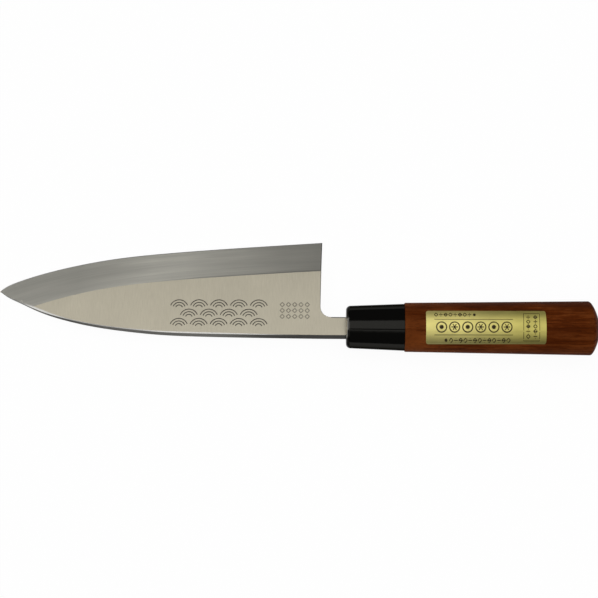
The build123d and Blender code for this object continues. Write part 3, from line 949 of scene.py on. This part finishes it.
def labelPiece():
    half, corner, centreY = label["length"] / 2, label["corner"], label["centreY"]
    ends = half - corner + corner * np.sin(np.linspace(0, pi / 2, label["cornerSteps"]))
    across = list(np.linspace(0, half - corner, label["columns"] // 2)[:-1]) + list(ends)
    upper, lower = [], []
    for offset in [-x for x in across[:0:-1]] + across:
        past = max(0.0, abs(offset) - (half - corner))
        reach = label["width"] / 2 - corner + sqrt(max(0.0, corner ** 2 - past ** 2))
        x = offset + labelMiddleX
        crestY = section["ridgeReach"] * cos(radians(section["ridgeAngle"])) * halvesAt(x, handle, handleStartX)[0]
        ys = list(np.linspace(centreY - reach, crestY, label["belowRidge"] + 1))
        ys += list(np.linspace(crestY, centreY + reach, label["aboveRidge"] + 1)[1:])
        # the butt's end of the foil is drawn in a little, most at the corner on the edge's side
        near = max(0.0, (x - labelMiddleX) / half) ** label["endPower"]
        bows = [label["endBow"] * max(0.0, (y - centreY) / label["width"] * 2) ** 2 for y in ys]
        spots = [(x - near * (label["endTrim"] + bow), y) for bow, y in zip(bows, ys)]
        upper.append([(*spot, foilTop(*spot)) for spot in spots])
        lower.append([(*spot, handleTop(*spot, label["under"])) for spot in spots])
    columns, count = len(upper), len(upper[0])
    points = [point for row in upper + lower for point in row]
    under = columns * count
    faces = quadStrips(columns, count) + quadStrips(columns, count, first=under)
    grid = np.arange(under).reshape(columns, count)
    rim = [*grid[:, 0].tolist(), *grid[-1, 1:].tolist(), *grid[-2::-1, -1].tolist(), *grid[0, -2:0:-1].tolist()]
    faces += [(a, b, b + under, a + under) for a, b in zip(rim, rim[1:] + rim[:1])]
    makePiece("label_foil", points, faces, [foilMaterial()], node="label", sharp=50.0)


handlePiece()
ferrulePiece()
sealPiece()
labelPiece()


# Ornament: plain traditional waves and lattices


def strokes(paths, height, lift):
    # thin solid strips: each path is a list of (x, y, half width); height(x, y) is the surface below them
    points, faces = [], []
    for path in paths:
        rings = []
        for i, (x, y, half) in enumerate(path):
            before, after = path[max(0, i - 1)], path[min(len(path) - 1, i + 1)]
            heading = np.array((after[0] - before[0], after[1] - before[1]))
            heading = heading / max(1e-9, np.hypot(*heading))
            side = np.array((-heading[1], heading[0])) * half
            left, right = (x + side[0], y + side[1]), (x - side[0], y - side[1])
            rings.append([(*left, height(*left)), (*left, height(*left) + lift),
                          (*right, height(*right) + lift), (*right, height(*right))])
        made, madeFaces = ringSkin(rings, first=len(points))
        points += made
        faces += madeFaces
    return points, faces


def stroke(a, b, half, count=2):
    return [(a[0] + (b[0] - a[0]) * t, a[1] + (b[1] - a[1]) * t, half) for t in np.linspace(0, 1, count)]


def outlined(corners, half, count=2):
    return [stroke(a, b, half, count) for a, b in zip(corners, corners[1:] + corners[:1])]


def arc(centre, radius, fromAngle, toAngle, half, count=14):
    return [(centre[0] + radius * cos(a), centre[1] + radius * sin(a), half)
            for a in np.radians(np.linspace(fromAngle, toAngle, count))]


def circle(x, y, radius, half, turns=24):
    return outlined([(x + radius * cos(2 * pi * t / turns), y + radius * sin(2 * pi * t / turns))
                     for t in range(turns)], half)


def lozenge(x, y, reach, half):
    return outlined([(x - reach, y), (x, y + reach), (x + reach, y), (x, y - reach)], half)


engraving = {
    "lift": 0.015, "waveRadius": 5.1, "waveRings": (4.6, 3.2, 1.8), "waveWidth": 0.24, "waveAngles": (20, 160),
    "waveStart": (-85.4, -1.2), "waves": 5, "waveRows": 3, "rowStep": 0.98,
    "lattice": (-34.2, 3.0, 16.0, 9.7), "latticeStep": 3.2, "latticeReach": 0.36, "latticeWidth": 0.14,
}


def engravedPaths():
    paths = []
    radius, (startX, startY) = engraving["waveRadius"], engraving["waveStart"]
    for row in range(engraving["waveRows"]):
        for i in range(engraving["waves"] - row % 2):
            centre = startX + 2 * radius * (i + 0.5 * (row % 2)), startY + row * radius * engraving["rowStep"]
            for ring in engraving["waveRings"]:
                paths.append(arc(centre, ring, *engraving["waveAngles"], engraving["waveWidth"]))
    left, low, wide, tall = engraving["lattice"]
    step = engraving["latticeStep"]
    for i in range(int(wide / step)):
        for j in range(int(tall / step)):
            paths += lozenge(left + (i + 0.5) * step, low + (j + 0.5) * step, step * engraving["latticeReach"],
                             engraving["latticeWidth"])
    return paths


points, faces = strokes(engravedPaths(), flatHeight, engraving["lift"])
makePiece("blade_waves", points, faces, [darkMaterial("etched_dark")], sharp=50.0)

printing = {
    "lift": 0.02, "ruleYs": (1.05, -6.75), "ruleXs": (44.7, 84.5), "ruleWidth": 0.14, "rulePoints": 24,
    "rosettes": 6, "rosetteStart": (48.3, -2.9), "rosetteStep": 6.62, "rosetteRadius": 2.55, "rosetteWidth": 0.3,
    "starAngles": (0, 60, 120), "starReach": 0.66, "starWidth": 0.8, "starPoints": 4, "rosetteDot": 0.42,
    "markRows": ((45.6, 3.65, 8), (53.2, -9.15, 13)), "markStep": 2.42, "markReach": 0.95, "markWidth": 0.2,
    "dots": ((65.0, 3.6), (50.6, -9.1)), "dotRadius": 0.75,
    "frame": (89.9, -9.4, 98.0, 4.3), "frameWidth": 0.13, "framePoints": 12,
    "frameMarks": (92.2, 95.8), "frameRows": 5, "frameMargin": 2.0,
    # a dot's core and the ring round it, as shares of its radius
    "core": 0.55, "coreEnd": 0.98, "corePoints": 10, "ring": 0.75, "ringWidth": 0.3, "ringTurns": 16,
}


def solidDot(x, y, radius):
    # drawn in two, so that the print follows the curved foil
    core, end = radius * printing["core"], printing["coreEnd"]
    spots = [(x + core * t, y, core * sqrt(1 - t * t)) for t in np.linspace(-end, end, printing["corePoints"])]
    ring = circle(x, y, radius * printing["ring"], radius * printing["ringWidth"], printing["ringTurns"])
    return ring + [spots]


def smallMark(x, y, kind):
    # a lozenge, a cross or a barred lozenge in turn
    reach, half = printing["markReach"], printing["markWidth"]
    paths = [] if kind % 3 == 1 else lozenge(x, y, reach, half)
    if kind % 3:
        paths += [stroke((x - reach, y), (x + reach, y), half), stroke((x, y - reach), (x, y + reach), half)]
    return paths


def labelPrint():
    # rules, rosettes with a dot or a small star in turn, rows of small marks and a framed panel of them
    paths = [stroke((printing["ruleXs"][0], y), (printing["ruleXs"][1], y), printing["ruleWidth"],
                    printing["rulePoints"]) for y in printing["ruleYs"]]
    radius, half = printing["rosetteRadius"], printing["rosetteWidth"]
    for i in range(printing["rosettes"]):
        x, y = printing["rosetteStart"][0] + i * printing["rosetteStep"], printing["rosetteStart"][1]
        paths += circle(x, y, radius, half)
        if i % 2:
            for turn in printing["starAngles"]:
                reach = np.array((cos(radians(turn)), sin(radians(turn)))) * radius * printing["starReach"]
                paths.append(stroke((x, y) - reach, (x, y) + reach, half * printing["starWidth"],
                                    printing["starPoints"]))
        else:
            paths += solidDot(x, y, radius * printing["rosetteDot"])
    for start, y, count in printing["markRows"]:
        for i in range(count):
            paths += smallMark(start + i * printing["markStep"], y, i)
    for x, y in printing["dots"]:
        paths += solidDot(x, y, printing["dotRadius"])
    left, low, right, high = printing["frame"]
    paths += outlined([(left, low), (right, low), (right, high), (left, high)], printing["frameWidth"],
                      printing["framePoints"])
    for column, x in enumerate(printing["frameMarks"]):
        for i in range(printing["frameRows"]):
            paths += smallMark(x, low + printing["frameMargin"] + i * printing["markStep"], i + column)
    return paths


points, faces = strokes(labelPrint(), foilTop, printing["lift"])
makePiece("label_print", points, faces, [darkMaterial("label_ink")], sharp=50.0)


# Stage, lights and camera

stage = {
    "floorSize": 6.0, "floorColour": (0.93, 0.93, 0.93, 1), "whiteShare": 0.95, "world": 0.15,
    # each softbox: lean from straight up towards the edge's side in degrees, size along and across the knife
    # in metres, radiance, and whether it shows in glossy surfaces
    "boxDistance": 1.7,
    "boxes": {
        "overhead": (10.3, 3.2, 0.92, 1.05, True),
        "slim": (-20.5, 3.2, 0.27, 0.8, True),
        "fill": (0.0, 3.4, 3.4, 0.95, False),
    },
    # a card beyond the tip, seen in the rim of the ferrule's mouth: distance, turn towards the edge's side in
    # degrees, height of its foot, width, height and radiance
    "card": (1.5, 18.0, 0.1, 1.6, 0.9, 2.4),
}


def makeFloor():
    half = stage["floorSize"] / 2
    mesh = bpy.data.meshes.new("floor")
    mesh.from_pydata([(-half, -half, 0), (half, -half, 0), (half, half, 0), (-half, half, 0)], [], [(0, 1, 2, 3)])
    made, tree, shader = newMaterial("pale_floor", {
        "Base Color": stage["floorColour"], "Roughness": 1.0, "Specular IOR Level": 0.0})
    # nearly white where it is seen, also in metal and gloss, with a share of the knife's shadow left
    seen = addNode(tree, "LightPath").outputs
    direct = addNode(tree, "Math", {
        0: calc(tree, "ADD", seen["Is Camera Ray"], seen["Is Glossy Ray"]), 1: seen["Is Transmission Ray"],
    }, operation="ADD", use_clamp=True).outputs[0]
    white = addNode(tree, "Emission", {"Color": (1, 1, 1, 1), "Strength": 1.0})
    blend = addNode(tree, "MixShader", {
        0: calc(tree, "MULTIPLY", direct, stage["whiteShare"]), 1: shader.outputs[0], 2: white.outputs[0]})
    tree.links.new(blend.outputs[0], tree.nodes["Material Output"].inputs["Surface"])
    mesh.materials.append(made)
    floor = bpy.data.objects.new("floor", mesh)
    bpy.context.scene.collection.objects.link(floor)


def aimed(thing, place, target, up=None):
    back = (place - target).normalized()
    right = (up or Vector((0, 1, 0.01))).cross(back).normalized()
    turn = Matrix((right, back.cross(right), back)).transposed()
    thing.matrix_world = Matrix.Translation(place) @ turn.to_4x4()
    bpy.context.scene.collection.objects.link(thing)


def softLight(name, wide, tall, radiance):
    lamp = bpy.data.lights.new(name, "AREA")
    lamp.shape = "RECTANGLE"
    lamp.size, lamp.size_y = wide, tall
    lamp.energy = radiance * pi * wide * tall
    return bpy.data.objects.new(name, lamp)


def makeLights():
    world = bpy.data.worlds.new("plain_world")
    bpy.context.scene.world = world
    world.use_nodes = True
    background = world.node_tree.nodes["Background"].inputs
    background["Color"].default_value = (1, 1, 1, 1)
    background["Strength"].default_value = stage["world"]
    for name, (lean, along, across, radiance, shows) in stage["boxes"].items():
        lean = radians(lean)
        box = softLight("softbox_" + name, along, across, radiance)
        box.visible_glossy = shows
        aimed(box, Vector((0, sin(lean), cos(lean))) * stage["boxDistance"], Vector((0, 0, 0)))
    away, turn, foot, wide, tall, radiance = stage["card"]
    card = softLight("card", wide, tall, radiance)
    card.visible_diffuse = False
    middle = Vector((0, 0, foot + tall / 2))
    aimed(card, middle + Vector((-cos(radians(turn)), sin(radians(turn)), 0)) * away, middle, up=Vector((0, 0, 1)))


camera = {
    "distance": 1.2, "lens": 140.7, "sensor": 36.0, "farthest": 20.0, "tilt": 17.45, "roll": 0.3,
    "target": (-24.05, 14.89, 0.0),
}


def makeCamera():
    data = bpy.data.cameras.new("camera")
    data.sensor_width, data.lens, data.clip_end = camera["sensor"], camera["lens"], camera["farthest"]
    tilt, roll = radians(camera["tilt"]), radians(camera["roll"])
    target = knifeToTable @ Vector(camera["target"])
    place = target + knifeTurn @ Vector((0, -sin(tilt), cos(tilt))) * camera["distance"]
    made = bpy.data.objects.new("camera", data)
    aimed(made, place, target, up=knifeTurn @ Vector((-sin(roll), cos(tilt) * cos(roll), sin(tilt) * cos(roll))))
    bpy.context.scene.camera = made


makeFloor()
makeLights()
makeCamera()
bpy.context.scene.view_settings.view_transform = "Standard"
print("stage, lights and camera set")

bpy.context.view_layer.update()
